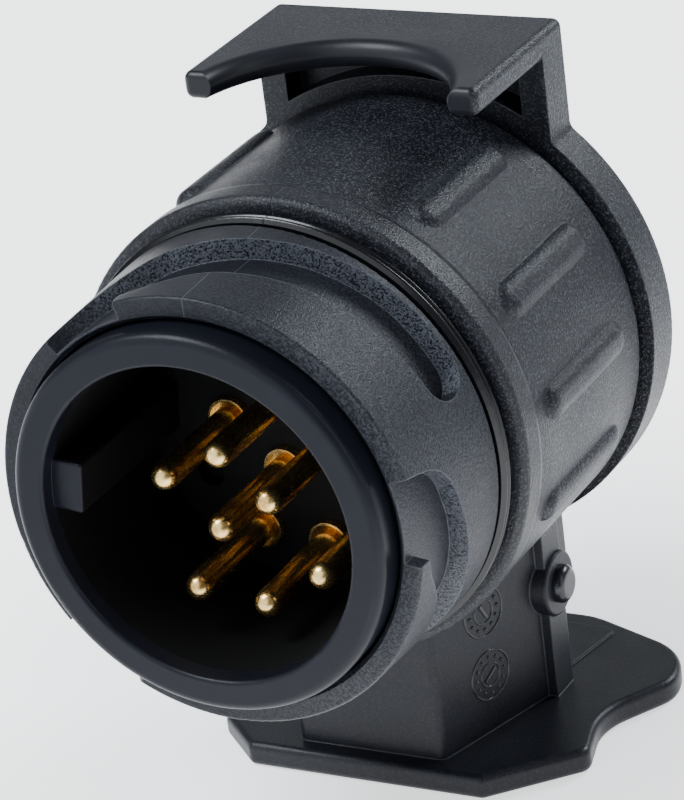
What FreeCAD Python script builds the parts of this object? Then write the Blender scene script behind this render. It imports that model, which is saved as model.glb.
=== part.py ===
"""Short towing adapter: 13-way bayonet plug at the front, 7-way socket with a sprung lid at the rear.

Frame: millimetres, +Z up, +Y from the plug's mouth towards the lid. The origin is on the plug's
axis, in the plane of the plug's front rim. "radius" and "depth" in this file are measured from
that axis and from that plane.
"""
import FreeCAD, Part
import math
import os
import re
import Sketcher

App = FreeCAD
Vec = App.Vector
AXIS = Vec(0, 1, 0)

doc = App.newDocument("towing_adapter")
sheet = doc.addObject("Spreadsheet::Sheet", "dims")

# ---------------------------------------------------------------- driving dimensions

DIMENSIONS = {
    # plug insert
    "shroud_bore": 18.65, "shroud_outer": 22.45, "shroud_flange": 24.2, "shroud_back": 27.6,
    "flange_front": 25.2, "rim_round": 1.1, "key_height": 3.75, "key_width": 6.1, "key_front": 2.0,
    "key_angle": 173, "carrier_front": 23.9, "carrier_back": 30, "pin_radius": 1.6, "pin_tip": 7,
    "pin_collar": 2.5, "pin_collar_front": 22.9, "pin_collar_back": 24.9, "pin_cup": 2.2,
    "pin_cup_depth": 1.2, "pin_tail": 31.5,
    "blank_radius": 1.7, "blank_depth": 2,
    # bayonet ring
    "ring_nose": 25.4, "ring_outer": 26.1, "ring_floor": 23.5, "ring_bore": 22.75, "ring_front": 3.2,
    "ring_rim": 21.3,
    "ring_sleeve": 25.4, "ring_back": 31, "ring_counterbore": 24.5, "ring_step": 25.0,
    "nose_round": 0.4, "mouth_chamfer": 0.5,
    # seal and front collar
    "seal_outer": 26.8, "seal_front": 21.7, "seal_back": 23.5, "collar_outer": 28.1,
    "collar_front": 24.1, "collar_back": 28.0, "collar_bore": 25.45, "collar_round": 0.9,
    "retainer_inner": 21.0, "retainer_outer": 24.5, "retainer_front": 27.8, "retainer_back": 28.8,
    # housing
    "barrel_outer": 27.9, "barrel_front": 28.1, "barrel_back": 57, "barrel_bore": 25.1,
    "barrel_mouth": 25.45, "barrel_step": 31.2, "barrel_round": 1.6,
    "rib_width": 4.8, "rib_front": 30.6, "rib_back": 51.6, "rib_height": 0.95, "rib_crown": 2.0,
    "column_front": 31.2, "column_half_front": 9.4, "column_back": 49.2, "column_half_back": 15.3,
    "column_top": 22.0, "column_round": 1.2, "pocket_half": 12.3, "pocket_front": 41,
    "pocket_top": 28.3, "pocket_half_front": 9.6,
    "ear_front": 48.6, "ear_back": 53.0, "ear_half": 16.3, "foot_top": 45, "foot_bottom": 48.1,
    "foot_front": 28.7, "foot_round": 0.9, "pad_height": 0.25,
    # socket
    "socket_front": 41, "socket_face": 44, "socket_back": 56.4, "socket_outer": 25.05,
    "socket_bore": 20.5, "keyway_width": 5, "keyway_depth": 2,
    "sleeve_outer": 3.4, "sleeve_bore": 2.55, "sleeve_depth": 6, "sleeve_front": 37.2,
    "tail_radius": 1.6, "lead_radius": 0.9, "sleeve_tail": 36, "contact_circle": 12.5,
    "screw_radius": 1.1, "screw_head": 1.95, "screw_circle": 22.7, "screw_length": 10,
    # hinge
    "hinge_depth": 51.2, "hinge_drop": 31, "boss_radius": 4.0, "boss_face": 16.8, "boss_round": 0.4,
    "hinge_pin_radius": 1.5, "knuckle_bore": 1.56, "knuckle_radius": 2.35, "knuckle_outer": 12,
    "knuckle_inner": 6, "pin_head_radius": 2.3, "pin_head_end": 18.1, "pin_head_round": 0.9,
    "spring_mean": 2.05, "spring_wire": 0.35,
    "spring_pitch": 1.0, "spring_coils": 9,
    # lid
    "lid_front": 57.8, "lid_back": 63.8, "lid_radius": 28.9, "lid_tab_half": 18.4,
    "shelf_top": 35.4, "shelf_bottom": 32.1, "shelf_tip": 40.4, "lip_radius": 15.2,
    "lip_centre": 37.2, "lip_round": 1.6, "shelf_round": 1.0, "tip_round": 0.85, "tab_fillet": 1.5,
    "lid_round": 0.8, "window_half": 15.1,
    "window_radius": 29.5, "window_depth": 3.6, "lid_arm_bottom": 34.4, "gasket_inner": 22,
    "gasket_outer": 25, "gasket_front": 57.08, "gasket_seat": 58.9, "lid_panel_radius": 24,
    "lid_panel_depth": 0.8,
}

# Angles are in degrees, measured from +X towards +Z, seen from the front.
PIN_POLAR = [(13.4, -115), (13.4, -78), (13.4, -41), (4.7, 101), (4.7, -5), (4.7, -111), (8.1, 172)]
BLANK_ANGLES = [-4, 33, 70, 107, 144, 208]
SLEEVE_ANGLES = [None, 90, 30, -30, -90, -150, 150]      # None is the central contact
LEAD_SLEEVES = [5, 4, 3, 1, 2, 0, 6]                      # the sleeve that each pin is wired to
RIB_ANGLES = [58, 31, 5, -22]                             # on the +X side, mirrored on -X
SCREW_ANGLES = [60, 180, 300]

# The bayonet grooves, unrolled. "turn" is in degrees clockwise past the step where the slot stops
# being open to the front. Each way in is (turn, rear wall depth), each wall is (turn, depth).
STEP_ANGLES = [108.5, -7.6, -142]
WIDE_ENTRY = [(-25.5, 2.7), (-20, 5.8), (-16, 8.8), (-11, 11.8), (-5, 14.6), (0, 16.0)]
NARROW_ENTRY = [(-23.4, 2.7), (-20.5, 7.9), (-17, 10.4), (-12, 11.7), (-6, 12.6), (0, 13.5)]
FRONT_WALL = [(0, 5.1), (5, 5.8), (10.5, 7.3), (18.5, 9.3), (26.5, 10.4), (35, 11.3), (43, 12.0),
              (52, 12.6), (62, 13.0), (72.5, 13.4), (79, 13.7)]
REAR_WALL = [16.0, 16.5, 17.1, 17.9, 18.5, 19.1, 19.5, 19.9, 20.2, 20.2, 20.2]
LATE_REAR_WALL = [13.5, 14.2, 14.9, 16.0, 17.3, 18.3, 19.0, 19.5, 20.0, 20.2, 20.2]
BAYONET_GROOVES = [(STEP_ANGLES[0], WIDE_ENTRY, REAR_WALL),
                   (STEP_ANGLES[1], NARROW_ENTRY, LATE_REAR_WALL),
                   (STEP_ANGLES[2], WIDE_ENTRY, REAR_WALL)]

for row, (name, value) in enumerate(DIMENSIONS.items(), start=1):
    sheet.set("A%d" % row, name)
    sheet.set("B%d" % row, str(value))
    sheet.setAlias("B%d" % row, name)
doc.recompute()


# ---------------------------------------------------------------- helpers

def linked(text):
    """An expression on the sheet's names, written for an object outside the sheet."""
    return re.sub(r"\b(?!cos\b|sin\b)([a-z_]+)\b", r"dims.\1", str(text))


def size(text):
    """The present value of an expression on the sheet's names."""
    return float(sheet.evalExpression(str(text)))


def bind(obj, **links):
    for prop, text in links.items():
        obj.setExpression(prop.replace("__", "."), linked(text))
    return obj


def origin_plane(body, role):
    return next(f for f in body.Origin.OriginFeatures if f.Role == role)


def polar(radius, degrees, depth):
    angle = math.radians(degrees)
    return Vec(radius * math.cos(angle), depth, radius * math.sin(angle))


def profile_sketch(body, name, corners, role):
    """A closed polygon whose corners are pairs of expressions, bound as distances from the origin."""
    sketch = body.newObject("Sketcher::SketchObject", name)
    sketch.AttachmentSupport = [(origin_plane(body, role), "")]
    sketch.MapMode = "FlatFace"
    points = [Vec(size(across), size(along), 0) for across, along in corners]
    count = len(points)
    for index, start in enumerate(points):
        sketch.addGeometry(Part.LineSegment(start, points[(index + 1) % count]), False)
    for index in range(count):
        sketch.addConstraint(Sketcher.Constraint("Coincident", index, 2, (index + 1) % count, 1))
    for index, (corner, point) in enumerate(zip(corners, points)):
        for kind, text, length in (("DistanceX", corner[0], point.x), ("DistanceY", corner[1], point.y)):
            number = sketch.addConstraint(Sketcher.Constraint(kind, -1, 1, index, 1, length))
            if length != 0:
                sketch.setExpression("Constraints[%d]" % number, linked(text))
    return sketch


def rim_edges(shape, radius, depth):
    """Names of the full circles about the axis at one radius and depth."""
    names = []
    for index, edge in enumerate(shape.Edges, start=1):
        curve = edge.Curve
        if isinstance(curve, Part.Circle) and abs(curve.Radius - radius) < 1e-3:
            if abs(curve.Center.y - depth) < 1e-3:
                names.append("Edge%d" % index)
    return names


def turned(label, corners, rounds=()):
    """A piece turned about Y from (radius, depth) corners, with some of its rims rounded."""
    body = doc.addObject("PartDesign::Body", label)
    body.Label = label
    sketch = profile_sketch(body, label + "_profile", corners, "XY_Plane")
    turn = body.newObject("PartDesign::Revolution", label + "_turn")
    turn.Profile = sketch
    turn.ReferenceAxis = (sketch, ["V_Axis"])
    turn.Angle = 360
    body.Tip = turn
    doc.recompute()
    for number, (radius, depth, amount) in enumerate(rounds, start=1):
        base = body.Tip
        fillet = body.newObject("PartDesign::Fillet", "%s_round_%d" % (label, number))
        fillet.Base = (base, rim_edges(base.Shape, size(radius), size(depth)))
        bind(fillet, Radius=amount)
        body.Tip = fillet
        doc.recompute()
    return body


def rod(name, radius, start, end):
    """A cylinder along Y."""
    piece = doc.addObject("Part::Cylinder", name)
    piece.Placement = App.Placement(Vec(0, size(start), 0), App.Rotation(Vec(1, 0, 0), -90))
    bind(piece, Radius=radius, Height="%s - (%s)" % (end, start), Placement__Base__y=start)
    return piece


def hinge_rod(name, radius, start, end):
    """A cylinder along X on the hinge's axis."""
    piece = doc.addObject("Part::Cylinder", name)
    spot = Vec(size(start), size("hinge_depth"), -size("hinge_drop"))
    piece.Placement = App.Placement(spot, App.Rotation(Vec(0, 1, 0), 90))
    bind(piece, Radius=radius, Height="%s - (%s)" % (end, start), Placement__Base__x=start,
         Placement__Base__y="hinge_depth", Placement__Base__z="-hinge_drop")
    return piece


def rounded_rod(name, radius, start, end, rounding):
    """A cylinder along X on the hinge's axis, its outermost rims rounded."""
    plain = hinge_rod(name + "_blank", radius, start, end)
    doc.recompute()
    reach = max(abs(size(start)), abs(size(end)))
    rims = [edge for edge in plain.Shape.Edges
            if isinstance(edge.Curve, Part.Circle) and abs(abs(edge.Curve.Center.x) - reach) < 1e-4]
    return feature(name, plain.Shape.makeFillet(size(rounding), rims))


def block(name, low, high):
    """A box between two corners given as expressions."""
    piece = doc.addObject("Part::Box", name)
    bind(piece, Length="%s - (%s)" % (high[0], low[0]), Width="%s - (%s)" % (high[1], low[1]),
         Height="%s - (%s)" % (high[2], low[2]), Placement__Base__x=low[0],
         Placement__Base__y=low[1], Placement__Base__z=low[2])
    return piece


def feature(name, shape):
    piece = doc.addObject("Part::Feature", name)
    piece.Shape = shape
    return piece


def swung(shape, degrees):
    """A copy of a shape swung about the plug's axis, positive from +X towards +Z."""
    copy = shape.copy()
    copy.rotate(Vec(0, 0, 0), AXIS, -degrees)
    return copy


def fuse(name, *pieces):
    join = doc.addObject("Part::MultiFuse", name)
    join.Shapes = list(pieces)
    join.Refine = True
    return join


def cut(name, base, *tools):
    tool = tools[0] if len(tools) == 1 else fuse(name + "_tools", *tools)
    result = doc.addObject("Part::Cut", name)
    result.Base = base
    result.Tool = tool
    return result


def outline(corners):
    """A closed wire in the XY plane through (x, y, corner radius) points."""
    count = len(corners)
    edges = []
    trimmed = []
    for index, (x, y, radius) in enumerate(corners):
        here = Vec(x, y, 0)
        before = Vec(*corners[index - 1][:2], 0) - here
        after = Vec(*corners[(index + 1) % count][:2], 0) - here
        if radius == 0:
            trimmed.append((here, here, here))
            continue
        half = before.getAngle(after) / 2
        reach = radius / math.tan(half)
        middle = (before.normalize() + after.normalize()).normalize()
        crest = here + middle * (radius / math.sin(half) - radius)
        trimmed.append((here + before * reach, crest, here + after * reach))
    for index, (start, crest, end) in enumerate(trimmed):
        if start != end:
            edges.append(Part.Arc(start, crest, end).toShape())
        following = trimmed[(index + 1) % count][0]
        if end.distanceToPoint(following) > 1e-6:
            edges.append(Part.LineSegment(end, following).toShape())
    return Part.Wire(Part.__sortEdges__(edges))


def slab(wire, low, high):
    """The wire's face, extruded from one height to another."""
    plate = Part.Face(wire).extrude(Vec(0, 0, high - low))
    plate.translate(Vec(0, 0, low))
    return plate


def upright_slab(wire, front, back):
    """The wire's face turned up into the XZ plane, extruded from one depth to another."""
    plate = slab(wire, front - back, 0)
    plate.rotate(Vec(0, 0, 0), Vec(1, 0, 0), 90)
    plate.translate(Vec(0, front, 0))
    return plate


def mirrored_points(right):
    """Corners on the +X side, front to back, followed by their mirror images, back to front."""
    return right + [(-x, y, radius) for x, y, radius in reversed(right)]


def level_edges(shape, height):
    """Edges that lie wholly at one height."""
    return [edge for edge in shape.Edges
            if all(abs(vertex.Z - height) < 1e-4 for vertex in edge.Vertexes)
            and abs(edge.CenterOfMass.z - height) < 1e-4]


# ---------------------------------------------------------------- plug insert (turns as one body)

def make_plug_shroud():
    tube = turned("shroud_tube",
                  [("shroud_bore", "0"), ("shroud_outer", "0"), ("shroud_outer", "flange_front"),
                   ("shroud_flange", "flange_front"), ("shroud_flange", "shroud_back"),
                   ("shroud_bore", "shroud_back")],
                  [("shroud_outer", "0", "rim_round"), ("shroud_bore", "0", "mouth_chamfer")])
    key = block("key_block", ("shroud_bore - key_height", "key_front", "-key_width / 2"),
                ("shroud_bore + 0.5", "carrier_front", "key_width / 2"))
    doc.recompute()
    blank = key.Shape
    inner = [edge for edge in blank.Edges
             if edge.CenterOfMass.x < size("shroud_bore") - 1 and edge.CenterOfMass.y < size("carrier_front")]
    softened = feature("key_softened", swung(blank.makeFillet(0.4, inner), size("key_angle")))
    return fuse("plug_shroud", tube, softened)


def make_contact_carrier():
    disc = rod("carrier_disc", "shroud_bore", "carrier_front", "carrier_back")
    tools = []
    for number, (radius, degrees) in enumerate(PIN_POLAR, start=1):
        for part, reach, start, end in (("hole", "pin_radius", "carrier_front - 1", "carrier_back + 1"),
                                        ("seat", "pin_collar", "carrier_front - 1", "pin_collar_back")):
            tool = rod("carrier_%s_%d" % (part, number), reach, start, end)
            bind(tool, Placement__Base__x="%s * cos(%s)" % (radius, degrees),
                 Placement__Base__z="%s * sin(%s)" % (radius, degrees))
            tools.append(tool)
    for number, degrees in enumerate(BLANK_ANGLES, start=1):
        tool = rod("carrier_blank_%d" % number, "blank_radius", "carrier_front - 1",
                   "carrier_front + blank_depth")
        bind(tool, Placement__Base__x="%s * cos(%s)" % (PIN_POLAR[0][0], degrees),
             Placement__Base__z="%s * sin(%s)" % (PIN_POLAR[0][0], degrees))
        tools.append(tool)
    return cut("contact_carrier", disc, *tools)


def make_plug_pin(number, radius, degrees):
    """A round-nosed pin: nose, shank, cupped locating collar and solder tail."""
    name = "plug_pin_%d" % number
    nose = doc.addObject("Part::Sphere", name + "_nose")
    bind(nose, Radius="pin_radius", Placement__Base__y="pin_tip + pin_radius")
    shank = rod(name + "_shank", "pin_radius", "pin_tip + pin_radius", "pin_tail")
    collar = rod(name + "_collar", "pin_collar", "pin_collar_front", "pin_collar_back")
    cup_end = "pin_collar_front + pin_cup_depth"
    cup = cut(name + "_cup", rod(name + "_cup_wall", "pin_cup", "pin_collar_front - 1", cup_end),
              rod(name + "_cup_core", "pin_radius", "pin_collar_front - 2", cup_end + " + 1"))
    pin = cut(name, fuse(name + "_solid", nose, shank, collar), cup)
    bind(pin, Placement__Base__x="%s * cos(%s)" % (radius, degrees),
         Placement__Base__z="%s * sin(%s)" % (radius, degrees))
    return pin


# ---------------------------------------------------------------- bayonet ring, seal and collar

def groove_section(degrees, front, rear):
    """A radial rectangle that cuts across the groove at one angle."""
    inside, outside = size("ring_floor") - 3, size("ring_outer") + 3
    corners = [polar(inside, degrees, front), polar(outside, degrees, front),
               polar(outside, degrees, rear), polar(inside, degrees, rear)]
    return Part.makePolygon(corners + corners[:1])


def groove_cutter(step, entry, rear_wall):
    """The lug's way in, the ramp behind it and the round end, down to the groove's floor."""
    open_front = size("ring_front") - 1
    way_in = Part.makeLoft([groove_section(step - turn, open_front, rear) for turn, rear in entry], True)
    ramp = Part.makeLoft([groove_section(step - turn, front, rear)
                          for (turn, front), rear in zip(FRONT_WALL, rear_wall)], True)
    end_turn, end_front = FRONT_WALL[-1]
    half = (rear_wall[-1] - end_front) / 2
    reach = size("ring_outer") + 3
    round_end = Part.makeCylinder(half, reach, Vec(0, end_front + half, 0), polar(1, step - end_turn, 0))
    floor = Part.makeCylinder(size("ring_floor"), 60, Vec(0, -5, 0), AXIS)
    return way_in.fuse([ramp, round_end]).cut(floor)


def make_coupling_ring():
    blank = turned("ring_blank",
                   [("ring_bore + mouth_chamfer", "ring_front"), ("ring_nose", "ring_front"),
                    ("ring_outer", "ring_rim"), ("ring_sleeve", "ring_rim"),
                    ("ring_sleeve", "ring_back"), ("ring_counterbore", "ring_back"),
                    ("ring_counterbore", "ring_step"), ("ring_bore", "ring_step"),
                    ("ring_bore", "ring_front + mouth_chamfer")],
                   [("ring_nose", "ring_front", "nose_round"), ("ring_outer", "ring_rim", "nose_round")])
    carved = blank.Shape
    for groove in BAYONET_GROOVES:
        carved = carved.cut(groove_cutter(*groove))
    return feature("coupling_ring", carved)


def make_ring_seal():
    """A rubber ring with two round beads."""
    first, valley, second = "seal_front + 0.45", "seal_front + 0.9", "seal_front + 1.35"
    return turned("ring_seal",
                  [("ring_sleeve", "seal_front"), ("seal_outer - 0.7", "seal_front"),
                   ("seal_outer", first), ("seal_outer - 0.45", valley), ("seal_outer - 0.05", second),
                   ("seal_outer - 0.7", "seal_back"), ("ring_sleeve", "seal_back")],
                  [("seal_outer", first, "0.25"), ("seal_outer - 0.05", second, "0.25")])


def make_front_collar():
    return turned("front_collar",
                  [("collar_bore", "collar_front"), ("collar_outer", "collar_front"),
                   ("collar_outer", "collar_back"), ("collar_bore", "collar_back")],
                  [("collar_outer", "collar_front", "collar_round")])


def make_insert_retainer():
    ring = turned("retainer_ring",
                  [("retainer_inner", "retainer_front"), ("retainer_outer", "retainer_front"),
                   ("retainer_outer", "retainer_back"), ("retainer_inner", "retainer_back")])
    split = block("retainer_split", ("-1.5", "retainer_front - 1", "-retainer_outer - 1"),
                  ("1.5", "retainer_back + 1", "-retainer_inner + 1"))
    return cut("insert_retainer", ring, split)


# ---------------------------------------------------------------- housing

def rib(degrees):
    """One grip rib: a round-ended pad that stands out of the barrel, its crown softened."""
    half = size("rib_width") / 2
    front, back = size("rib_front"), size("rib_back")
    wire = outline([(-half, front, half - 0.05), (half, front, half - 0.05),
                    (half, back, half - 0.05), (-half, back, half - 0.05)])
    base, crown = size("barrel_outer") - 1.2, size("barrel_outer + rib_height")
    pad = slab(wire, base, crown)
    pad = pad.makeFillet(size("rib_crown"), level_edges(pad, crown))
    return swung(pad, degrees - 90)


def make_column():
    """The box under the barrel, wider at the rear, with the foot plate that ends it."""
    front, back = size("column_front"), size("column_back")
    narrow, wide = size("column_half_front"), size("column_half_back")
    wire = outline(mirrored_points([(narrow, front, size("column_round")), (wide, back, 0)]))
    return slab(wire, -size("foot_top") - 0.5, -size("column_top"))


def foot_corners():
    """The foot plate's outline: chamfered front corners, waisted flanks and a rounded tail."""
    front = size("foot_front")
    tail = [(28.3, front + 27.4, 5), (26.8, front + 34.5, 9), (12.5, front + 40.2, 10)]
    right = [(15.2, front, 1.0), (24.9, front + 9.3, 1.8), (22.6, front + 18, 9)] + tail
    left = [(15.2, front, 1.0), (21.6, front + 5.8, 1.5), (22.4, front + 15.3, 12)] + tail
    return right + [(-x, y, radius) for x, y, radius in reversed(left)]


def make_foot():
    low, high = -size("foot_bottom"), -size("foot_top")
    plate = slab(outline(foot_corners()), low, high)
    return plate.makeFillet(size("foot_round"), level_edges(plate, high) + level_edges(plate, low))


def make_foot_pad():
    """A shallow raised field on the foot's tail, between two slanting edges."""
    front = size("foot_front")
    wire = outline(mirrored_points([(14.3, front + 25.5, 1.5), (16.6, front + 37, 1)]))
    return slab(wire, -size("foot_top") - 0.5, -size("foot_top") + size("pad_height"))


def make_housing():
    shell = turned("barrel",
                   [("barrel_mouth", "barrel_front"), ("barrel_outer", "barrel_front"),
                    ("barrel_outer", "barrel_back"), ("barrel_bore", "barrel_back"),
                    ("barrel_bore", "barrel_step"), ("barrel_mouth", "barrel_step")],
                   [("barrel_outer", "barrel_back", "barrel_round")])
    angles = RIB_ANGLES + [180 - degrees for degrees in RIB_ANGLES]
    ribs = [feature("rib_%d" % number, rib(degrees)) for number, degrees in enumerate(angles, start=1)]
    column = feature("column", make_column())
    foot = feature("foot", make_foot())
    pad = feature("foot_pad", make_foot_pad())
    ears = block("ears", ("-ear_half", "ear_front", "-foot_top - 0.5"),
                 ("ear_half", "ear_back", "-column_top"))
    bosses = rounded_rod("ear_bosses", "boss_radius", "-boss_face", "boss_face", "boss_round")
    solid = fuse("housing_solid", shell, column, foot, pad, ears, bosses, *ribs)
    bore = rod("barrel_clearance", "barrel_bore", "barrel_front - 1", "barrel_back + 1")
    step = rod("barrel_mouth_clearance", "barrel_mouth", "barrel_front - 1", "barrel_step")
    pocket = block("spring_pocket", ("-pocket_half", "ear_front - 2", "-foot_top"),
                   ("pocket_half", "ear_back + 8", "-pocket_top"))
    pocket_front = block("spring_pocket_front", ("-pocket_half_front", "pocket_front", "-foot_top"),
                         ("pocket_half_front", "ear_front", "-pocket_top"))
    pin_hole = hinge_rod("ear_pin_hole", "hinge_pin_radius", "-ear_half - 2", "ear_half + 2")
    return cut("housing", solid, bore, step, pocket, pocket_front, pin_hole)


# ---------------------------------------------------------------- seven-way socket

def screw_spot(piece, degrees):
    return bind(piece, Placement__Base__x="screw_circle * cos(%d)" % degrees,
                Placement__Base__z="screw_circle * sin(%d)" % degrees)


def contact_spot(piece, degrees):
    """Moves a piece to a contact's place in the socket; the central one has no angle."""
    if degrees is not None:
        bind(piece, Placement__Base__x="contact_circle * cos(%d)" % degrees,
             Placement__Base__z="contact_circle * sin(%d)" % degrees)
    return piece


def make_socket_body():
    cup = turned("socket_cup",
                 [("0", "socket_front"), ("socket_outer", "socket_front"),
                  ("socket_outer", "socket_back"), ("socket_bore", "socket_back"),
                  ("socket_bore", "socket_face"), ("0", "socket_face")])
    keyway = block("socket_keyway", ("-keyway_width / 2", "socket_face", "socket_bore - 1"),
                   ("keyway_width / 2", "socket_back + 1", "socket_bore + keyway_depth"))
    tools = [keyway]
    for number, degrees in enumerate(SLEEVE_ANGLES, start=1):
        hole = rod("socket_hole_%d" % number, "sleeve_outer", "socket_front - 1", "socket_face + 1")
        tools.append(contact_spot(hole, degrees))
    for number, degrees in enumerate(SCREW_ANGLES, start=1):
        seat = rod("screw_seat_%d" % number, "screw_head", "socket_back - 2", "socket_back + 1")
        shank = rod("screw_hole_%d" % number, "screw_radius", "socket_back - screw_length", "socket_back")
        tools += [screw_spot(seat, degrees), screw_spot(shank, degrees)]
    return cut("socket_body", cup, *tools)


def make_socket_contact(number, degrees):
    """A sleeve contact: open barrel at the rear, solder tail at the front."""
    name = "socket_contact_%d" % number
    barrel = rod(name + "_barrel", "sleeve_outer", "sleeve_front", "socket_face")
    tail = rod(name + "_tail", "tail_radius", "sleeve_tail", "sleeve_front")
    bore = rod(name + "_bore", "sleeve_bore", "socket_face - sleeve_depth", "socket_face + 1")
    return contact_spot(cut(name, fuse(name + "_solid", barrel, tail), bore), degrees)


def make_socket_screws():
    """Three pan-head screws with cross recesses, as one group of separate solids."""
    heads = []
    for number, degrees in enumerate(SCREW_ANGLES, start=1):
        head = rod("screw_head_%d" % number, "screw_head", "socket_back - 2", "socket_back - 0.4")
        shank = rod("screw_shank_%d" % number, "screw_radius", "socket_back - screw_length",
                    "socket_back - 2")
        screw = fuse("screw_%d" % number, head, shank)
        slots = [block("screw_slot_%d_%s" % (number, way), (low[0], "socket_back - 1.2", low[1]),
                       (high[0], "socket_back", high[1]))
                 for way, low, high in (("a", ("-1.4", "-0.25"), ("1.4", "0.25")),
                                        ("b", ("-0.25", "-1.4"), ("0.25", "1.4")))]
        heads.append(screw_spot(cut("screw_cross_%d" % number, screw, *slots), degrees))
    group = doc.addObject("Part::Compound", "socket_screws")
    group.Links = heads
    return group


def make_lead(number):
    """A flexible lead from a plug pin's tail to its socket contact."""
    radius, degrees = PIN_POLAR[number - 1]
    start = polar(radius, degrees, size("pin_tail"))
    angle = SLEEVE_ANGLES[LEAD_SLEEVES[number - 1]]
    end = Vec(0, size("sleeve_tail"), 0)
    if angle is not None:
        end = polar(size("contact_circle"), angle, size("sleeve_tail"))
    ends = [Part.Wire(Part.makeCircle(size("lead_radius"), centre, AXIS)) for centre in (start, end)]
    return feature("lead_%d" % number, Part.makeLoft(ends, True, True))


# ---------------------------------------------------------------- lid, hinge pin and spring

def make_lid():
    solid = fuse("lid_solid", feature("lid_plate", make_lid_plate()),
                 feature("finger_shelf", make_finger_shelf()), *make_knuckles())
    window = feature("lid_window", window_cutter())
    seat = cut("gasket_groove", rod("gasket_groove_outer", "gasket_outer", "lid_front - 1", "gasket_seat"),
               rod("gasket_groove_inner", "gasket_inner", "lid_front - 2", "gasket_seat + 1"))
    panel = rod("lid_panel", "lid_panel_radius", "lid_back - lid_panel_depth", "lid_back + 1")
    bore = hinge_rod("knuckle_bores", "knuckle_bore", "-knuckle_outer - 1", "knuckle_outer + 1")
    return cut("lid", solid, window, seat, panel, bore)


def make_lid_plate():
    """The round flap with its squared tab above and its hinge arm below, rounded along the back."""
    half, top, corner = size("lid_tab_half"), size("shelf_top"), size("shelf_round")
    front, back = size("lid_front"), size("lid_back")
    radius = size("lid_radius")
    disc = Part.makeCylinder(radius, back - front, Vec(0, front, 0), AXIS)
    tab = upright_slab(outline([(half, 0, 0), (half, top, corner), (-half, top, corner), (-half, 0, 0)]),
                       front, back)
    arm_half, arm_bottom = size("knuckle_outer"), -size("lid_arm_bottom")
    arm = Part.makeBox(2 * arm_half, back - front, -10 - arm_bottom, Vec(-arm_half, front, arm_bottom))
    plate = disc.fuse([tab, arm]).removeSplitter()
    meeting = math.sqrt(radius ** 2 - half ** 2)
    inner_corners = [edge for edge in plate.Edges
                     if abs(abs(edge.CenterOfMass.x) - half) < 1e-3
                     and abs(edge.CenterOfMass.z - meeting) < 1e-3]
    plate = plate.makeFillet(size("tab_fillet"), inner_corners)
    rear_edges = [edge for edge in plate.Edges if abs(edge.CenterOfMass.y - back) < 1e-4]
    return plate.makeFillet(size("lid_round"), rear_edges)


def make_knuckles():
    """Two hinge knuckles, each with a web that joins it to the hinge arm."""
    pieces = []
    for side, low, high in (("left", "-knuckle_outer", "-knuckle_inner"),
                            ("right", "knuckle_inner", "knuckle_outer")):
        pieces.append(hinge_rod("knuckle_" + side, "knuckle_radius", low, high))
        pieces.append(block("knuckle_web_" + side, (low, "hinge_depth", "-hinge_drop - knuckle_radius"),
                            (high, "lid_front + 0.5", "-hinge_drop + knuckle_radius - 0.4")))
    return pieces


def make_finger_shelf():
    """The pull above the barrel: a flat shelf between two horns, with a concave, rolled front lip."""
    half, corner = size("lid_tab_half"), size("shelf_round")
    low, high = size("shelf_bottom"), size("shelf_top")
    tip, back = size("shelf_tip"), size("lid_front") + 1
    wire = outline([(half, low, corner), (half, high, corner), (-half, high, corner), (-half, low, corner)])
    shelf = upright_slab(wire, tip, back)
    tip_edges = [edge for edge in shelf.Edges if abs(edge.CenterOfMass.y - tip) < 1e-4]
    return shelf.makeFillet(size("tip_round"), tip_edges).cut(lip_cutter(low, high))


def lip_cutter(low, high):
    """A spool about the lip's upright centre line, whose flared ends roll the lip's edges over."""
    waist, roll = size("lip_radius"), size("lip_round")
    flare = waist + roll
    lean = roll * (1 - math.sqrt(0.5))
    corners = [Vec(0, 0, low - 1), Vec(flare, 0, low - 1), Vec(flare, 0, low), Vec(waist, 0, low + roll),
               Vec(waist, 0, high - roll), Vec(flare, 0, high), Vec(flare, 0, high + 1), Vec(0, 0, high + 1)]
    edges = [Part.LineSegment(start, end).toShape()
             for start, end in zip(corners, corners[1:] + corners[:1])]
    edges[2] = Part.Arc(corners[2], Vec(waist + lean, 0, low + lean), corners[3]).toShape()
    edges[4] = Part.Arc(corners[4], Vec(waist + lean, 0, high - lean), corners[5]).toShape()
    spool = Part.Face(Part.Wire(edges)).revolve(Vec(0, 0, 0), Vec(0, 0, 1), 360)
    spool.translate(Vec(0, size("lip_centre"), 0))
    return spool


def window_cutter():
    """The blind recess in the lid's inner face, under the finger shelf."""
    half, front = size("window_half"), size("lid_front")
    depth = size("window_depth")
    box = Part.makeBox(2 * half, depth + 1, size("shelf_bottom") - 20, Vec(-half, front - 1, 20))
    return box.cut(Part.makeCylinder(size("window_radius"), 20, Vec(0, front - 5, 0), AXIS))


def make_lid_gasket():
    return turned("lid_gasket",
                  [("gasket_inner", "gasket_front + 0.35"), ("gasket_inner + 0.5", "gasket_front"),
                   ("gasket_outer - 0.5", "gasket_front"), ("gasket_outer", "gasket_front + 0.35"),
                   ("gasket_outer", "gasket_seat"), ("gasket_inner", "gasket_seat")])


def make_hinge_pin():
    shank = hinge_rod("hinge_shank", "hinge_pin_radius", "-boss_face", "boss_face")
    right = rounded_rod("hinge_head_right", "pin_head_radius", "boss_face", "pin_head_end", "pin_head_round")
    left = rounded_rod("hinge_head_left", "pin_head_radius", "-pin_head_end", "-boss_face", "pin_head_round")
    return fuse("hinge_pin", shank, right, left)


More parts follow.
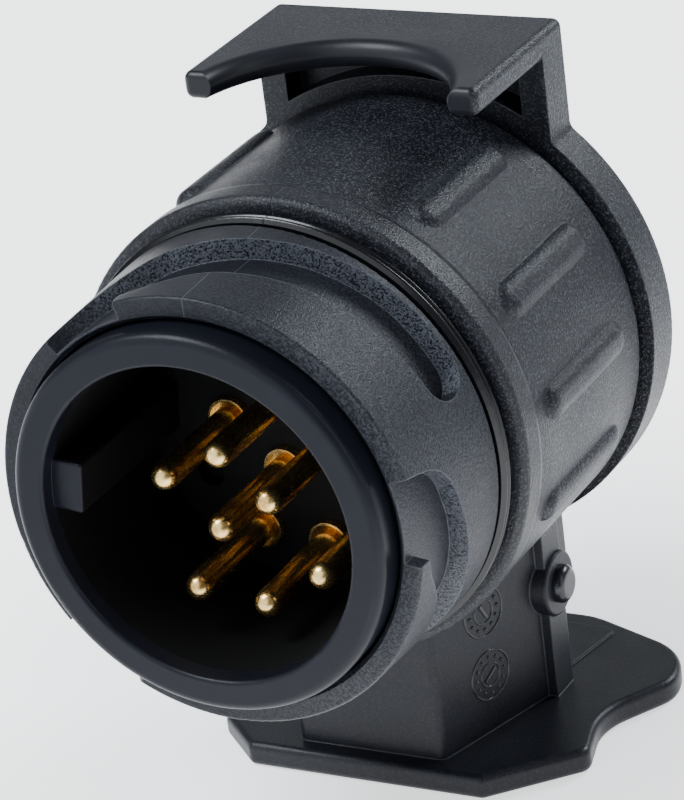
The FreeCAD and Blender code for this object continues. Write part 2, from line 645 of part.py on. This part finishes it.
def make_lid_spring():
    """A torsion spring on the hinge pin, one leg on the column and one on the lid."""
    mean, wire = size("spring_mean"), size("spring_wire")
    length = size("spring_pitch * spring_coils")
    helix = Part.makeHelix(size("spring_pitch"), length, mean)
    path = Part.Wire(helix.Edges)
    section = Part.Wire(Part.makeCircle(wire, Vec(mean, 0, 0), Vec(0, 1, 0)))
    coil = path.makePipeShell([section], True, True)
    coil.rotate(Vec(0, 0, 0), Vec(0, 1, 0), 90)
    coil.translate(Vec(-length / 2, size("hinge_depth"), -size("hinge_drop")))
    ends = [vertex.Point for vertex in (helix.Vertexes[0], helix.Vertexes[-1])]
    turn = App.Rotation(Vec(0, 1, 0), 90)
    shift = Vec(-length / 2, size("hinge_depth"), -size("hinge_drop"))
    legs = []
    for point, heading in zip(ends, (Vec(0, -1, 0), Vec(0, 1, 0))):
        foot = turn.multVec(point) + shift
        legs.append(Part.makeCylinder(wire, 6.0, foot, heading))
    return feature("lid_spring", coil.fuse(legs).removeSplitter())


# ---------------------------------------------------------------- build, check and write

NODES = [make_housing(), make_front_collar(), make_coupling_ring(), make_ring_seal(),
         make_insert_retainer(), make_plug_shroud(), make_contact_carrier(), make_socket_body(),
         make_socket_screws(), make_hinge_pin(), make_lid_spring(), make_lid(), make_lid_gasket()]
NODES += [make_plug_pin(number, *spot) for number, spot in enumerate(PIN_POLAR, start=1)]
NODES += [make_socket_contact(number, angle) for number, angle in enumerate(SLEEVE_ANGLES, start=1)]
NODES += [make_lead(number) for number in range(1, len(PIN_POLAR) + 1)]

doc.recompute()
for item in doc.Objects:
    if "Invalid" in item.State or "Error" in item.State:
        raise RuntimeError("%s failed: %s" % (item.Name, item.State))
for node in NODES:
    node.Label = node.Name
    if node.Shape.isNull() or not node.Shape.isValid() or node.Shape.Volume <= 0:
        raise RuntimeError("%s has no valid solid" % node.Label)

os.makedirs("parts", exist_ok=True)
for node in NODES:
    node.Shape.exportStep("parts/%s.step" % node.Label)
    box = node.Shape.BoundBox
    print("%-20s solids %d volume %9.1f  x %6.1f %6.1f  y %6.1f %6.1f  z %6.1f %6.1f" % (
        node.Label, len(node.Shape.Solids), node.Shape.Volume,
        box.XMin, box.XMax, box.YMin, box.YMax, box.ZMin, box.ZMax))
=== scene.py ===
import math
import bmesh
import bpy
from mathutils import Matrix, Vector


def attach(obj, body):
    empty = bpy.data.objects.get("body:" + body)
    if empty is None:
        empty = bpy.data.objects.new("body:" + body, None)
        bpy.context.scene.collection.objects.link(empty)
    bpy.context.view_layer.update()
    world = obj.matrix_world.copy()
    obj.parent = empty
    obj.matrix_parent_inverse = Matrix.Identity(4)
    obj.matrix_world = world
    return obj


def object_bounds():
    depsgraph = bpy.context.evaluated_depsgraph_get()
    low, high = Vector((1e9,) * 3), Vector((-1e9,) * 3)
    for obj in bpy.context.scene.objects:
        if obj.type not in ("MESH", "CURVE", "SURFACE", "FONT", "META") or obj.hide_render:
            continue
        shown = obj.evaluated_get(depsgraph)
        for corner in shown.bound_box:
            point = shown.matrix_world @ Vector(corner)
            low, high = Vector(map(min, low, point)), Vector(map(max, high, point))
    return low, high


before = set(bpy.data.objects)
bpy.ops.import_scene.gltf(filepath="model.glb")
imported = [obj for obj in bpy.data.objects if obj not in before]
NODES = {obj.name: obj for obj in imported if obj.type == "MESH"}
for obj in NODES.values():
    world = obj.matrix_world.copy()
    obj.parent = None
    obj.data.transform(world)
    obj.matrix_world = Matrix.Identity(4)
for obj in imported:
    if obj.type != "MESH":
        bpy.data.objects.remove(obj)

CAD_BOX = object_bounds()
MM = 0.001


# ---------------------------------------------------------------- shader building blocks

class Surface:
    """A node material around one Principled shader, with short helpers for its networks."""

    def __init__(self, name, colour, roughness, metallic=0.0, specular=0.5, coat=0.0, coat_roughness=0.1):
        self.material = bpy.data.materials.new(name)
        self.material.use_nodes = True
        self.tree = self.material.node_tree
        self.shader = self.tree.nodes["Principled BSDF"]
        self.shader.inputs["Base Color"].default_value = (*colour, 1)
        self.shader.inputs["Roughness"].default_value = roughness
        self.shader.inputs["Metallic"].default_value = metallic
        self.shader.inputs["Specular IOR Level"].default_value = specular
        self.shader.inputs["Coat Weight"].default_value = coat
        self.shader.inputs["Coat Roughness"].default_value = coat_roughness
        self.place = self.node("ShaderNodeTexCoord").outputs["Object"]
        split = self.node("ShaderNodeSeparateXYZ")
        self.join(self.place, split.inputs[0])
        self.x, self.y, self.z = split.outputs

    def node(self, kind, **settings):
        made = self.tree.nodes.new(kind)
        for name, value in settings.items():
            setattr(made, name, value)
        return made

    def join(self, source, target):
        if isinstance(source, bpy.types.NodeSocket):
            self.tree.links.new(source, target)
        else:
            target.default_value = source

    def calc(self, operation, *values, clamp=False):
        made = self.node("ShaderNodeMath", operation=operation, use_clamp=clamp)
        for value, socket in zip(values, made.inputs):
            self.join(value, socket)
        return made.outputs[0]

    def ramp(self, value, low, high, start=0.0, end=1.0):
        """value mapped from low..high to start..end, smoothly and held at both ends."""
        made = self.node("ShaderNodeMapRange", interpolation_type="SMOOTHSTEP")
        for number, setting in enumerate((value, low, high, start, end)):
            self.join(setting, made.inputs[number])
        return made.outputs[0]

    def between(self, value, band_mm, start=0.0, end=1.0):
        """ramp() across a band given as a pair of distances in mm."""
        low, high = band_mm
        return self.ramp(value, low * MM, high * MM, start, end)

    def length(self, across, along):
        return self.calc("SQRT", self.calc("ADD", self.calc("MULTIPLY", across, across),
                                           self.calc("MULTIPLY", along, along)))

    def radius(self):
        """Distance from the plug's axis."""
        return self.length(self.x, self.z)

    def noise(self, size_mm, detail=2.0, roughness=0.5, stretch=(1, 1, 1)):
        """Noise with features of about that size."""
        scaled = self.node("ShaderNodeVectorMath", operation="MULTIPLY")
        self.join(self.place, scaled.inputs[0])
        scaled.inputs[1].default_value = [factor / (size_mm * MM) for factor in stretch]
        made = self.node("ShaderNodeTexNoise")
        made.inputs["Scale"].default_value = 1
        made.inputs["Detail"].default_value = detail
        made.inputs["Roughness"].default_value = roughness
        self.join(scaled.outputs[0], made.inputs["Vector"])
        return made.outputs["Fac"]

    def cells(self, size_mm, wobble=0.35):
        """Rounded pebbles of about that size, with uneven borders."""
        scaled = self.node("ShaderNodeVectorMath", operation="SCALE")
        self.join(self.place, scaled.inputs[0])
        scaled.inputs["Scale"].default_value = 1 / (size_mm * MM)
        jitter = self.node("ShaderNodeTexNoise")
        jitter.inputs["Scale"].default_value = 1.3
        self.join(scaled.outputs[0], jitter.inputs["Vector"])
        bent = self.node("ShaderNodeVectorMath", operation="MULTIPLY_ADD")
        self.join(jitter.outputs["Color"], bent.inputs[0])
        bent.inputs[1].default_value = (wobble, wobble, wobble)
        self.join(scaled.outputs[0], bent.inputs[2])
        made = self.node("ShaderNodeTexVoronoi", feature="SMOOTH_F1")
        made.inputs["Scale"].default_value = 1
        made.inputs["Smoothness"].default_value = 0.35
        self.join(bent.outputs[0], made.inputs["Vector"])
        return made.outputs["Distance"]

    def mixed(self, first, second, amount):
        """A colour between two, each an RGB tuple or a socket, picked by a value from 0 to 1."""
        mix = self.node("ShaderNodeMix", data_type="RGBA")
        self.join(amount, mix.inputs["Factor"])
        for colour, socket in ((first, mix.inputs["A"]), (second, mix.inputs["B"])):
            self.join((*colour, 1) if isinstance(colour, tuple) else colour, socket)
        return mix.outputs["Result"]

    def vary_colour(self, first, second, amount):
        self.join(self.mixed(first, second, amount), self.shader.inputs["Base Color"])

    def vary_roughness(self, value):
        self.join(value, self.shader.inputs["Roughness"])

    def bump(self, height, depth_mm, strength=1.0, bevel_mm=0.12):
        """Relief of that depth on softened edges. strength may be a socket that masks it."""
        edge = self.node("ShaderNodeBevel", samples=6)
        edge.inputs["Radius"].default_value = bevel_mm * MM
        made = self.node("ShaderNodeBump")
        made.inputs["Distance"].default_value = depth_mm * MM
        self.join(strength, made.inputs["Strength"])
        self.join(height, made.inputs["Height"])
        self.join(edge.outputs[0], made.inputs["Normal"])
        self.join(made.outputs[0], self.shader.inputs["Normal"])

    def edge_highlight_mask(self, bevel_mm=0.35):
        """1 on sharp edges, 0 on flats and gentle curves; used as a mask for painted highlights."""
        edge = self.node("ShaderNodeBevel", samples=6)
        edge.inputs["Radius"].default_value = bevel_mm * MM
        compare = self.node("ShaderNodeVectorMath", operation="DOT_PRODUCT")
        self.join(edge.outputs[0], compare.inputs[0])
        self.join(self.node("ShaderNodeNewGeometry").outputs["Normal"], compare.inputs[1])
        return self.ramp(compare.outputs["Value"], 0.99, 0.85)


# ---------------------------------------------------------------- materials

CAVITY_SHADE = (0.0010, 0.0010, 0.0012)
JET = (0.0012, 0.0012, 0.0014)
INK = (0.0020, 0.0020, 0.0024)
SOOT = (0.0036, 0.0040, 0.0056)
NAVY = (0.0085, 0.0096, 0.0150)
SLATE = (0.0125, 0.0138, 0.0196)
# Colour of the painted glint and painted highlights on the mouldings.
PAINTED_GLINT = (0.085, 0.092, 0.110)
RUBBER = ((0.002, 0.002, 0.0025), (0.006, 0.006, 0.008))
SHEATH = ((0.03, 0.03, 0.033), (0.07, 0.07, 0.075))
GILT = ((0.60, 0.33, 0.09), (0.98, 0.70, 0.28))
BRASS = ((0.55, 0.38, 0.14), (0.85, 0.66, 0.32))
ZINC = ((0.42, 0.43, 0.45), (0.66, 0.67, 0.69))
SPRING_STEEL = ((0.34, 0.34, 0.36), (0.62, 0.62, 0.64))

# Bands over which a finish changes, in mm, each from its first value to its second.
TOP_LINE = 0.7                      # right of the top, where the moulds part
PARTING_TOP = (20, 21)              # height
RIB_FOOT = (28.2, 28.8)             # radius
BARREL_UNDERSIDE = (-24.5, -23.5)   # height
BARREL_EDGE = (28.12, 28.45)        # depth, beside the hairline joint
COLLAR_EDGE = (27.6, 27.98)         # depth, beside the hairline joint
GROOVES_START = (4.5, 5.5)          # depth
RING_SIDE = (0, 18)                 # across
SHROUD_MOUTH = (18.75, 18.95)       # radius
KEY_END = (2.6, 2.1)                # depth
SHELF_UNDERSIDE = (31.6, 32.0)      # height
LIP_CENTRE = 37.2                   # depth
LIP_ROLL = (18.6, 17.6)             # radius round the lip's centre
TAB_SIDE = (17.4, 18.2)             # across
GROOVE_DEPTH = 3                    # of a joint or parting line, in bump heights


def grain(s, pebble_mm, speck_mm):
    """Height of a spark-eroded grain, rounded pebbles with finer specks, and a mask of its peaks for a
    painted glint.
    """
    pebbles = s.cells(pebble_mm, 0.7)
    specks = s.noise(speck_mm, 2, 0.7)
    height = s.calc("ADD", s.calc("MULTIPLY", pebbles, -0.6), s.calc("MULTIPLY", specks, 1.5))
    return height, s.ramp(height, 0.42, 0.78)


def parting_line(s, half_width_mm=0.10):
    """1 along the top, where the two halves of the mould meet."""
    off_centre = s.calc("ABSOLUTE", s.calc("SUBTRACT", s.x, TOP_LINE * MM))
    return s.calc("MULTIPLY", s.between(off_centre, (half_width_mm, 0.03)), s.between(s.z, PARTING_TOP))


def moulded(s, cloud_mm, glint_peaks, strength, rough=(0.34, 0.44), edge_highlight=0.5, extra_highlight=None):
    """Uneven tint and polish, with painted highlights: lighter on the grain's peaks, on sharp edges and
    along any extra line.
    """
    cloudy = s.noise(cloud_mm, 3, 0.5)
    tint = s.mixed(SOOT, SLATE, s.calc("MULTIPLY", cloudy, 0.9))
    # Painted glint: the grain's peaks are coloured lighter, as if catching light.
    painted_highlight = s.calc("MULTIPLY", s.calc("MULTIPLY", glint_peaks, strength), 0.65)
    # Painted highlight on sharp edges.
    painted_highlight = s.calc("ADD", painted_highlight, s.calc("MULTIPLY", s.edge_highlight_mask(), edge_highlight), clamp=True)
    # Painted highlight along any extra line, such as the parting line.
    if extra_highlight:
        painted_highlight = s.calc("ADD", painted_highlight, extra_highlight, clamp=True)
    s.vary_colour(tint, PAINTED_GLINT, painted_highlight)
    polish = s.ramp(cloudy, 0.3, 0.7, *rough)
    s.vary_roughness(s.calc("SUBTRACT", polish, s.calc("MULTIPLY", painted_highlight, 0.12)))


def barrel_plastic():
    """Fine grain on the barrel, a little weaker on the ribs; the column and the foot are nearly smooth."""
    s = Surface("barrel_plastic", SLATE, 0.42, specular=0.24)
    height, glint_peaks = grain(s, 0.36, 0.26)
    strength = s.calc("MULTIPLY", s.between(s.radius(), RIB_FOOT, 1, 0.85),
                      s.between(s.z, BARREL_UNDERSIDE, 0.2, 1))
    joint = s.between(s.y, BARREL_EDGE, -GROOVE_DEPTH, 0)
    s.bump(s.calc("ADD", height, joint), 0.08, strength, 0.25)
    moulded(s, 9, glint_peaks, strength)
    return s.material


def collar_plastic():
    """The barrel's grain, with a parting line on top, painted lighter there as a highlight, and a hairline
    joint at the back.
    """
    s = Surface("collar_plastic", SLATE, 0.42, specular=0.3)
    height, glint_peaks = grain(s, 0.34, 0.24)
    parting = parting_line(s)
    joint = s.between(s.y, COLLAR_EDGE, 0, -GROOVE_DEPTH)
    lines = s.calc("ADD", joint, s.calc("MULTIPLY", parting, -GROOVE_DEPTH))
    s.bump(s.calc("ADD", height, lines), 0.06, 1.0, 0.2)
    # Painted highlight along the parting line.
    moulded(s, 8, glint_peaks, 0.7, extra_highlight=s.calc("MULTIPLY", parting, 0.5))
    return s.material


def ring_plastic():
    """Strong speckle on the groove walls, with a painted glint boosted there so they read as lit, and a
    grain on the lands that fades towards the left, its painted glint fading with it.
    """
    s = Surface("ring_plastic", SLATE, 0.42, specular=0.22)
    coarse = s.noise(0.28, 2, 0.7)
    fine = s.noise(0.22, 2, 0.7)
    normal = s.node("ShaderNodeSeparateXYZ")
    s.join(s.node("ShaderNodeNewGeometry").outputs["Normal"], normal.inputs[0])
    on_wall = s.calc("MULTIPLY", s.ramp(s.calc("ABSOLUTE", normal.outputs[1]), 0.3, 0.7),
                     s.between(s.y, GROOVES_START))
    to_side = s.between(s.x, RING_SIDE, 0.35, 1.0)
    strength = s.calc("MAXIMUM", on_wall, to_side)
    height = s.calc("ADD", s.calc("MULTIPLY", coarse, 1.6), s.calc("MULTIPLY", fine, 0.7))
    glint_peaks = s.ramp(height, 0.95, 1.4)
    parting = parting_line(s)
    s.bump(s.calc("ADD", height, s.calc("MULTIPLY", parting, -GROOVE_DEPTH)), 0.07, strength, 0.2)
    # Painted light: the walls' glint is boosted so they look lit, and the parting line gets a painted
    # highlight.
    moulded(s, 7, glint_peaks, s.calc("MULTIPLY", strength, s.ramp(on_wall, 0, 1, 0.6, 2.6)), edge_highlight=0.7,
            extra_highlight=s.calc("MULTIPLY", parting, 0.5))
    return s.material


def shroud_plastic():
    """Satin rim; inside the cavity, but for the key's end, painted shade makes it ink-dark and rougher."""
    s = Surface("shroud_plastic", SLATE, 0.36, specular=0.16)
    haze = s.noise(0.35, 3, 0.6)
    cloudy = s.noise(6, 4, 0.5)
    s.bump(s.calc("ADD", haze, s.calc("MULTIPLY", cloudy, 0.5)), 0.03, 0.8, 0.2)
    lit = s.calc("MAXIMUM", s.between(s.radius(), SHROUD_MOUTH), s.between(s.y, KEY_END))
    # Painted shade: the cavity is coloured near black where it lies in shadow.
    s.vary_colour(CAVITY_SHADE, NAVY, s.calc("MULTIPLY", lit, s.calc("ADD", s.calc("MULTIPLY", cloudy, 0.4), 0.6)))
    s.vary_roughness(s.calc("ADD", s.calc("MULTIPLY", haze, 0.12), s.ramp(lit, 0, 1, 0.75, 0.28)))
    return s.material


def carrier_plastic():
    s = Surface("carrier_plastic", INK, 0.6, specular=0.2)
    speckle = s.noise(0.3, 3, 0.6)
    s.bump(speckle, 0.04, 0.6)
    s.vary_colour(JET, INK, s.noise(4, 3, 0.5))
    s.vary_roughness(s.calc("ADD", s.calc("MULTIPLY", speckle, 0.15), 0.5))
    return s.material


def lid_plastic():
    """Grain on the flap and its edges, with a smoother rolled lip on the finger shelf."""
    s = Surface("lid_plastic", SLATE, 0.42, specular=0.3)
    height, glint_peaks = grain(s, 0.36, 0.26)
    reach = s.length(s.x, s.calc("SUBTRACT", s.y, LIP_CENTRE * MM))
    lip = s.calc("MULTIPLY", s.between(s.z, SHELF_UNDERSIDE), s.between(reach, LIP_ROLL))
    sideways = s.between(s.calc("ABSOLUTE", s.x), TAB_SIDE, 0.5, 1)
    strength = s.calc("MULTIPLY", s.calc("SUBTRACT", 1, s.calc("MULTIPLY", lip, 0.95)), sideways)
    s.bump(height, 0.07, strength, 0.25)
    moulded(s, 10, glint_peaks, strength, rough=(0.36, 0.44))
    return s.material


def seal_rubber():
    s = Surface("seal_rubber", SOOT, 0.22, specular=0.4)
    ripple = s.noise(1.6, 3, 0.5)
    parting = parting_line(s)
    s.bump(s.calc("SUBTRACT", ripple, s.calc("MULTIPLY", parting, 2)), 0.05, 0.6, 0.05)
    s.vary_colour(*RUBBER, s.noise(3, 3, 0.5))
    s.vary_roughness(s.calc("ADD", s.calc("MULTIPLY", ripple, 0.12), 0.16))
    return s.material


def gasket_rubber():
    s = Surface("gasket_rubber", SLATE, 0.7)
    pores = s.noise(0.25, 3, 0.6)
    s.bump(pores, 0.05, 0.7)
    s.vary_colour(SOOT, SLATE, s.noise(3, 3, 0.5))
    s.vary_roughness(s.calc("ADD", s.calc("MULTIPLY", pores, 0.2), 0.55))
    return s.material


def pin_head_plastic():
    s = Surface("pin_head_plastic", SLATE, 0.28, specular=0.5)
    haze = s.noise(0.3, 3, 0.6)
    s.bump(haze, 0.03, 0.5, 0.2)
    s.vary_colour(SOOT, SLATE, s.noise(2.5, 3, 0.5))
    s.vary_roughness(s.calc("ADD", s.calc("MULTIPLY", haze, 0.12), 0.22))
    return s.material


def metal(name, tints, roughness, stretch=(1, 1, 1), scratch_mm=0.15, depth_mm=0.006):
    """A turned or drawn metal: fine marks along or round it, cloudy tint and uneven polish."""
    s = Surface(name, tints[1], roughness, metallic=1.0)
    marks = s.noise(scratch_mm, 3, 0.6, stretch)
    cloudy = s.noise(1.8, 4, 0.6)
    s.bump(s.calc("ADD", marks, s.calc("MULTIPLY", cloudy, 0.6)), depth_mm, 0.8, 0.08)
    s.vary_colour(*tints, s.ramp(cloudy, 0.3, 0.6))
    s.vary_roughness(s.calc("ADD", s.calc("MULTIPLY", marks, 0.12), roughness))
    return s.material


def lead_sheath():
    s = Surface("lead_sheath", (0.05, 0.05, 0.055), 0.5)
    pores = s.noise(0.4, 3, 0.6)
    s.bump(pores, 0.03, 0.6)
    s.vary_colour(*SHEATH, s.noise(2, 3, 0.5))
    s.vary_roughness(s.calc("ADD", s.calc("MULTIPLY", pores, 0.15), 0.42))
    return s.material


PAPER = ((0.94, 0.94, 0.94), (0.96, 0.96, 0.96))
PAPER_GLOW = 1.9
DIM_GLOW = (0.16, 0.17, 0.20)
FRONT_LEFT = (-0.5, -0.87)      # level directions, across and along
BACK_RIGHT = (0.87, 0.5)
FOOT_MIDDLE = 60                # mm along the plug's axis
FRONT_FADE = (0, 120)
RIGHT_FADE = (90, 170)
FOOT_SHADOW = (20, 95)


def floor_paper():
    """Paper that glows, less at the front left and at the back right, with a painted shadow round the foot.
    """
    s = Surface("floor_paper", (0.95, 0.95, 0.95), 0.9, specular=0.1)
    s.shader.inputs["Emission Strength"].default_value = PAPER_GLOW
    forward, sideways = (s.calc("ADD", s.calc("MULTIPLY", s.x, across), s.calc("MULTIPLY", s.y, along))
                         for across, along in (FRONT_LEFT, BACK_RIGHT))
    reach = s.length(s.x, s.calc("SUBTRACT", s.y, FOOT_MIDDLE * MM))
    shade = s.calc("MAXIMUM", s.between(forward, FRONT_FADE), s.between(sideways, RIGHT_FADE))
    # Painted shadow: the glow is halved close round the foot.
    shade = s.calc("MAXIMUM", shade, s.between(reach, FOOT_SHADOW, 0.5, 0))
    s.join(s.mixed((1, 1, 1), DIM_GLOW, shade), s.shader.inputs["Emission Color"])
    fibre = s.noise(3, 4, 0.6)
    s.bump(fibre, 0.05, 0.1)
    s.vary_colour(*PAPER, s.noise(60, 3, 0.5))
    s.vary_roughness(s.calc("ADD", s.calc("MULTIPLY", fibre, 0.1), 0.85))
    return s.material


def paint(material, *names):
    for name in names:
        mesh = NODES[name].data
        mesh.materials.clear()
        mesh.materials.append(material)


SEVEN = range(1, 8)
paint(barrel_plastic(), "housing")
paint(collar_plastic(), "front_collar")
paint(ring_plastic(), "coupling_ring")
paint(shroud_plastic(), "plug_shroud")
paint(carrier_plastic(), "contact_carrier", "socket_body")
paint(lid_plastic(), "lid")
paint(seal_rubber(), "ring_seal")
paint(gasket_rubber(), "lid_gasket")
paint(pin_head_plastic(), "hinge_pin")
paint(metal("gilt", GILT, 0.20, (1, 0.15, 1)), *["plug_pin_%d" % number for number in SEVEN])
paint(metal("turned_brass", BRASS, 0.22, (1, 4, 1)), *["socket_contact_%d" % number for number in SEVEN])
paint(metal("zinc_steel", ZINC, 0.28), "socket_screws")
paint(metal("spring_wire", SPRING_STEEL, 0.2), "lid_spring", "insert_retainer")
paint(lead_sheath(), *["lead_%d" % number for number in SEVEN])


# ---------------------------------------------------------------- moulding marks on the column

COLUMN_SIDE = (12.2, 39.8)      # a point on the column's right side, mm across and along
COLUMN_SLANT = math.radians(18.15)
DIAL_RINGS = ((3.1, 0.16), (1.5, 0.14))     # radius and wire, mm
DOT_CIRCLE = 2.3
DOT_RADIUS = 0.26
POINTER = (0.4, 2.2, 0.3)


def bead(shape, radius, wire, around=48, section=8):
    """A thin raised ring, lying in the plane z = 0."""
    loops = []
    for step in range(around):
        turn = 2 * math.pi * step / around
        loop = []
        for side in range(section):
            tilt = 2 * math.pi * side / section
            reach = radius + wire * math.cos(tilt)
            place = (reach * math.cos(turn), reach * math.sin(turn), wire * math.sin(tilt))
            loop.append(shape.verts.new(place))
        loops.append(loop)
    for step in range(around):
        here = loops[step]
        after = loops[(step + 1) % around]
        for side in range(section):
            beyond = (side + 1) % section
            shape.faces.new((here[side], after[side], after[beyond], here[beyond]))


def add_date_dial(name, height_mm, pointer_turn, material):
    """Two rings, twelve dots between them and a pointer, without any lettering."""
    shape = bmesh.new()
    for radius, wire in DIAL_RINGS:
        bead(shape, radius * MM, wire * MM)
    for hour in range(12):
        turn = 2 * math.pi * hour / 12
        place = Vector((math.cos(turn), math.sin(turn), 0)) * DOT_CIRCLE * MM
        bmesh.ops.create_icosphere(shape, subdivisions=2, radius=DOT_RADIUS * MM,
                                   matrix=Matrix.Translation(place))
    stretched = Matrix.Diagonal([side * MM for side in POINTER] + [1])
    pointer = Matrix.Rotation(pointer_turn, 4, "Z") @ stretched
    bmesh.ops.create_cube(shape, size=1, matrix=pointer)
    mesh = bpy.data.meshes.new(name)
    shape.to_mesh(mesh)
    shape.free()
    mesh.materials.append(material)
    dial = bpy.data.objects.new(name, mesh)
    across, along = COLUMN_SIDE
    outward = Vector((math.cos(COLUMN_SLANT), -math.sin(COLUMN_SLANT), 0))
    sideways = Vector((math.sin(COLUMN_SLANT), math.cos(COLUMN_SLANT), 0))
    turned = Matrix((sideways, (0, 0, 1), outward)).transposed().to_4x4()
    dial.matrix_world = Matrix.Translation(Vector((across, along, height_mm)) * MM) @ turned
    bpy.context.scene.collection.objects.link(dial)
    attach(dial, "housing")


DIAL_PLASTIC = pin_head_plastic()
for dial_name, dial_height, dial_turn in (("date_dial_upper", -29.5, 0.5), ("date_dial_lower", -37.8, 2.2)):
    add_date_dial(dial_name, dial_height, dial_turn, DIAL_PLASTIC)


# ---------------------------------------------------------------- floor, light and camera

FLOOR_HALF = 6.0
WORLD_TINT = (0.95, 0.97, 1.0)
WORLD_STRENGTH = 0.20
CAMERA_PLACE = (0.2033, -0.3172, 0.1835)
CAMERA_TURNS = (30.0, 24.43, -7.5)      # azimuth, elevation and roll, degrees
LENS = 176.98
MIDDLE = (0, 0.03, 0)
COOL = (0.88, 0.94, 1.0)
SOFTBOXES = [                           # name, place, width, height, watts
    ("back_right", (0.45, 0.85, 0.62), 0.5, 0.3, 10),
    ("above_left", (-0.38, -0.28, 0.74), 0.4, 0.4, 9),
    ("strip_right", (0.80, -0.10, 0.35), 0.2, 0.7, 1.2),
    ("front_panel", (-0.40, -0.85, 0.40), 1.6, 1.2, 9),
    ("back_left", (-0.456, 0.82, 0.41), 0.6, 0.5, 0.7),
]


def add_floor():
    mesh = bpy.data.meshes.new("floor")
    shape = bmesh.new()
    bmesh.ops.create_grid(shape, x_segments=2, y_segments=2, size=FLOOR_HALF)
    shape.to_mesh(mesh)
    shape.free()
    floor = bpy.data.objects.new("floor", mesh)
    floor.location.z = CAD_BOX[0].z
    mesh.materials.append(floor_paper())
    bpy.context.scene.collection.objects.link(floor)


def add_softbox(name, place, width, height, watts):
    data = bpy.data.lights.new(name, "AREA")
    data.shape = "RECTANGLE"
    data.size = width
    data.size_y = height
    data.energy = watts
    data.color = COOL
    lamp = bpy.data.objects.new(name, data)
    lamp.location = place
    aim = Vector(MIDDLE) - Vector(place)
    lamp.rotation_mode = "QUATERNION"
    lamp.rotation_quaternion = aim.to_track_quat("-Z", "Y")
    bpy.context.scene.collection.objects.link(lamp)


def add_world():
    world = bpy.data.worlds.new("studio")
    world.use_nodes = True
    sky = world.node_tree.nodes["Background"]
    sky.inputs["Color"].default_value = (*WORLD_TINT, 1)
    sky.inputs["Strength"].default_value = WORLD_STRENGTH
    bpy.context.scene.world = world


def add_camera():
    """A long lens from the front right, above the plug's axis and rolled a little."""
    data = bpy.data.cameras.new("camera")
    data.lens = LENS
    data.sensor_width = 36
    data.clip_start = 0.01
    data.clip_end = 20
    camera = bpy.data.objects.new("camera", data)
    azimuth, elevation, roll = (math.radians(angle) for angle in CAMERA_TURNS)
    ahead = Vector((-math.sin(azimuth) * math.cos(elevation), math.cos(azimuth) * math.cos(elevation),
                    -math.sin(elevation)))
    level = Vector((math.cos(azimuth), math.sin(azimuth), 0))
    above = level.cross(ahead)
    right = level * math.cos(roll) + above * math.sin(roll)
    up = above * math.cos(roll) - level * math.sin(roll)
    turn = Matrix((right, up, -ahead)).transposed()
    camera.matrix_world = Matrix.Translation(CAMERA_PLACE) @ turn.to_4x4()
    bpy.context.scene.collection.objects.link(camera)
    bpy.context.scene.camera = camera


add_floor()
add_world()
for softbox in SOFTBOXES:
    add_softbox(*softbox)
add_camera()
